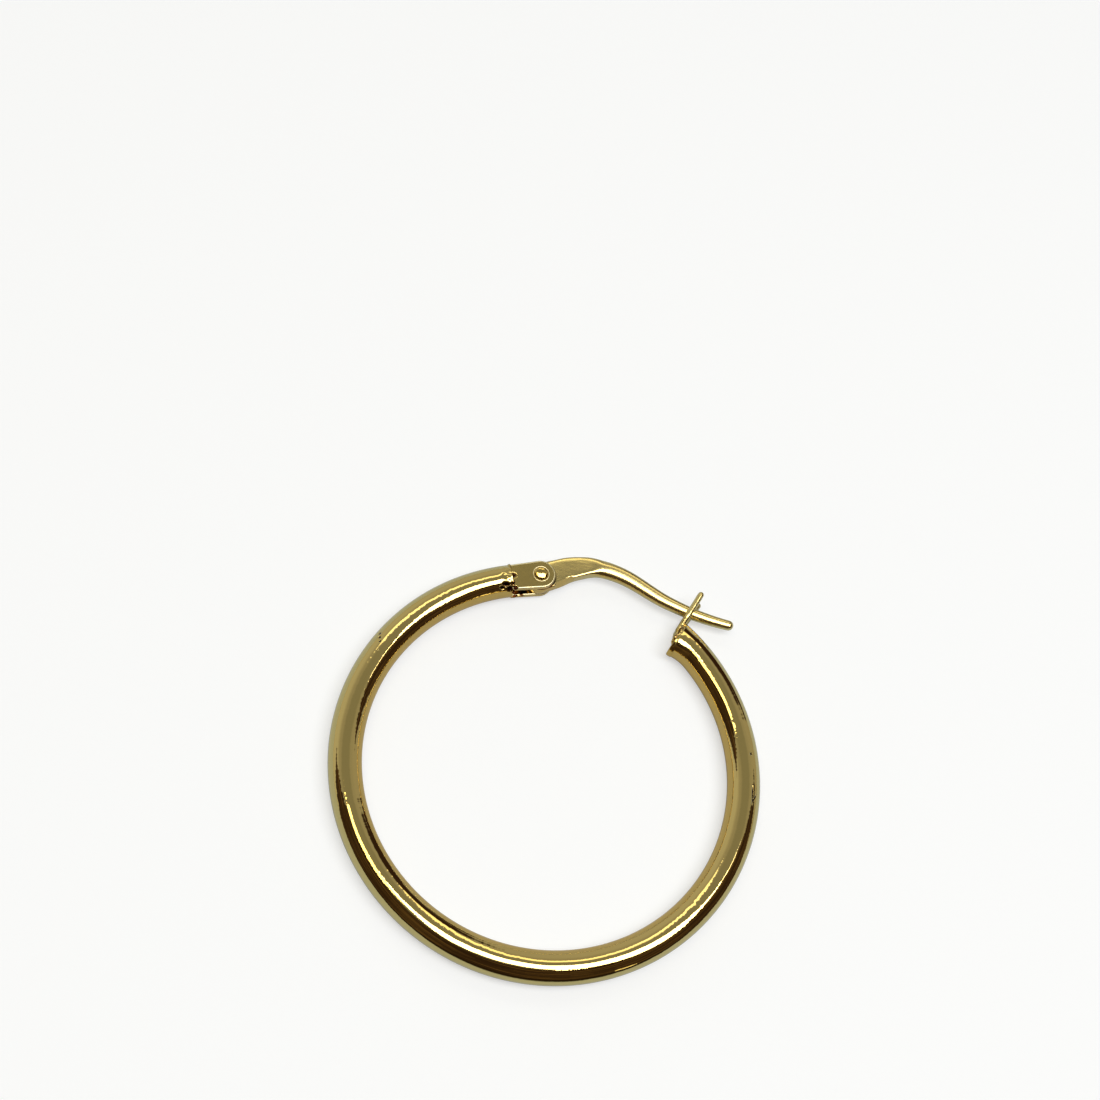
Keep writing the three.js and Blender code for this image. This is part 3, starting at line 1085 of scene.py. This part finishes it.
# The dim side: all that lies nearer the camera than an edge, which first draws back and then
# comes forward again with the height. Furniture shows in it as brown streaks.
back = node(
    tree,
    "ShaderNodeMapRange",
    {"Value": height, "From Min": 0.03, "From Max": 0.42, "To Min": -0.08, "To Max": 0.32},
)
forward = node(
    tree, "ShaderNodeMapRange", {"Value": height, "From Min": 0.42, "From Max": 0.95, "To Max": 0.27}
)
edge = node(tree, "ShaderNodeMath", {0: back.outputs[0], 1: forward.outputs[0]}, operation="SUBTRACT")
past = node(tree, "ShaderNodeMath", {0: part.outputs["Y"], 1: edge.outputs[0]}, operation="SUBTRACT")
near = node(
    tree,
    "ShaderNodeMapRange",
    {"Value": past.outputs[0], "From Min": 0.02, "From Max": -0.02},
    interpolation_type="SMOOTHSTEP",
)
below = node(
    tree,
    "ShaderNodeMapRange",
    {"Value": height, "From Min": 0.95, "From Max": 0.88},
    interpolation_type="SMOOTHSTEP",
)
dim = node(tree, "ShaderNodeMath", {0: near.outputs[0], 1: below.outputs[0]}, operation="MULTIPLY")
furniture = node(
    tree,
    "ShaderNodeMapping",
    {"Vector": ray.outputs["Generated"], "Scale": (2.5, 2.5, 16)},
)
streaks = node(
    tree, "ShaderNodeTexNoise", {"Vector": furniture.outputs[0], "Scale": 1.0, "Detail": 2.0}
)
streaked = node(
    tree, "ShaderNodeMapRange", {"Value": streaks.outputs["Fac"], "From Min": 0.47, "From Max": 0.7}
)
shade = node(
    tree,
    "ShaderNodeMix",
    {0: streaked.outputs[0], 6: (0.03, 0.017, 0.012, 1), 7: (0.12, 0.075, 0.035, 1)},
    data_type="RGBA",
)
mixed = node(
    tree, "ShaderNodeMix", {0: dim.outputs[0], 6: light, 7: shade.outputs[2]}, data_type="RGBA"
)
light = mixed.outputs[2]

# Round patches, each with its full and its outer radius in degrees: three dark pieces of
# furniture, and one lamp low down on the camera's side.
for middle, inner, outer, colour in (
    (Vector((0.76, 0.64, 0.12)), 8, 12, (0.035, 0.018, 0.012, 1)),
    (Vector((0.575, 0.71, 0.407)), 13, 18, (0.035, 0.018, 0.012, 1)),
    (Vector((0.47, 0.87, 0.1)), 3, 7, (0.05, 0.03, 0.02, 1)),
    (Vector((0.58, -0.81, 0.04)), 2.5, 4.5, (1.3, 1.15, 0.7, 1)),
):
    close = node(
        tree,
        "ShaderNodeVectorMath",
        {0: ray.outputs["Generated"], 1: middle.normalized()},
        operation="DOT_PRODUCT",
    )
    patch = node(
        tree,
        "ShaderNodeMapRange",
        {
            "Value": close.outputs["Value"],
            "From Min": math.cos(math.radians(outer)),
            "From Max": math.cos(math.radians(inner)),
        },
        interpolation_type="SMOOTHSTEP",
    )
    mixed = node(
        tree, "ShaderNodeMix", {0: patch.outputs[0], 6: light, 7: colour}, data_type="RGBA"
    )
    light = mixed.outputs[2]

# Two lit strips that meet in a corner behind the earring: the yellow line inside the hoop.
corner = Vector((0.19, 0.61, 1)).normalized()
for far, colour in (
    (Vector((-0.34, 0.86, 1)).normalized(), (2.0, 1.9, 1.5, 1)),
    (Vector((0.62, 0.97, 1)).normalized(), (1.8, 1.65, 1.2, 1)),
):
    across = corner.cross(far).normalized()
    away = node(
        tree, "ShaderNodeVectorMath", {0: ray.outputs["Generated"], 1: across}, operation="DOT_PRODUCT"
    )
    aside = node(tree, "ShaderNodeMath", {0: away.outputs["Value"]}, operation="ABSOLUTE")
    thin = node(
        tree,
        "ShaderNodeMapRange",
        {"Value": aside.outputs[0], "From Min": 0.08, "From Max": 0.055},
        interpolation_type="SMOOTHSTEP",
    )
    middle = (corner + far).normalized()
    close = node(
        tree, "ShaderNodeVectorMath", {0: ray.outputs["Generated"], 1: middle}, operation="DOT_PRODUCT"
    )
    ends = middle.dot(corner)
    short = node(
        tree,
        "ShaderNodeMapRange",
        {"Value": close.outputs["Value"], "From Min": ends - 0.03, "From Max": ends},
        interpolation_type="SMOOTHSTEP",
    )
    strip = node(
        tree, "ShaderNodeMath", {0: thin.outputs[0], 1: short.outputs[0]}, operation="MULTIPLY"
    )
    mixed = node(
        tree, "ShaderNodeMix", {0: strip.outputs[0], 6: light, 7: colour}, data_type="RGBA"
    )
    light = mixed.outputs[2]

rays = node(tree, "ShaderNodeLightPath", {})
seen = node(
    tree,
    "ShaderNodeMix",
    {0: rays.outputs["Is Camera Ray"], 6: light, 7: (0.9, 0.9, 0.9, 1)},
    data_type="RGBA",
)
sky = node(tree, "ShaderNodeBackground", {"Color": seen.outputs[2], "Strength": 1.0})
node(tree, "ShaderNodeOutputWorld", {"Surface": sky.outputs[0]})

bpy.context.scene.view_settings.view_transform = "Standard"
